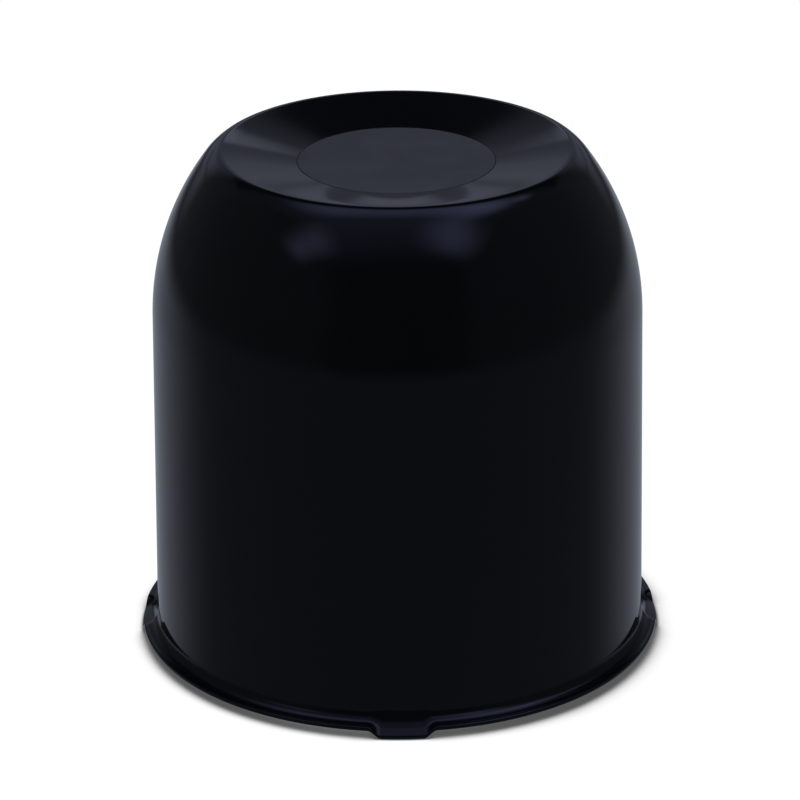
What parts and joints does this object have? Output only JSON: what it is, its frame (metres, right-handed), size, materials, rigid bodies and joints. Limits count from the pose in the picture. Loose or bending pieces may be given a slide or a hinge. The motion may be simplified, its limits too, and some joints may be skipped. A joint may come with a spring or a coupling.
{
  "type": "wheel centre cap",
  "caption": "Closed push-through wheel centre cap: a deep pressed steel cup with a dished end, a plain round medallion and a narrow flange with nibs.",
  "frame": {"origin": "on the cap's axis, in the plane of the nib feet at its open end", "axes": "+Z along the cap's axis towards its closed, dished end; the nibs lie on the X and Y axes; -Y is the front"},
  "size_m": [0.115, 0.115, 0.1117],
  "materials": {
    "gloss_black_paint": "gloss",
    "medallion_black": "gloss",
    "adhesive_foam": "matte"
  },
  "bodies": {
    "root": {"cap_shell": "gloss_black_paint", "medallion_blank": "medallion_black", "medallion_adhesive": "adhesive_foam"}
  },
  "joints": []
}
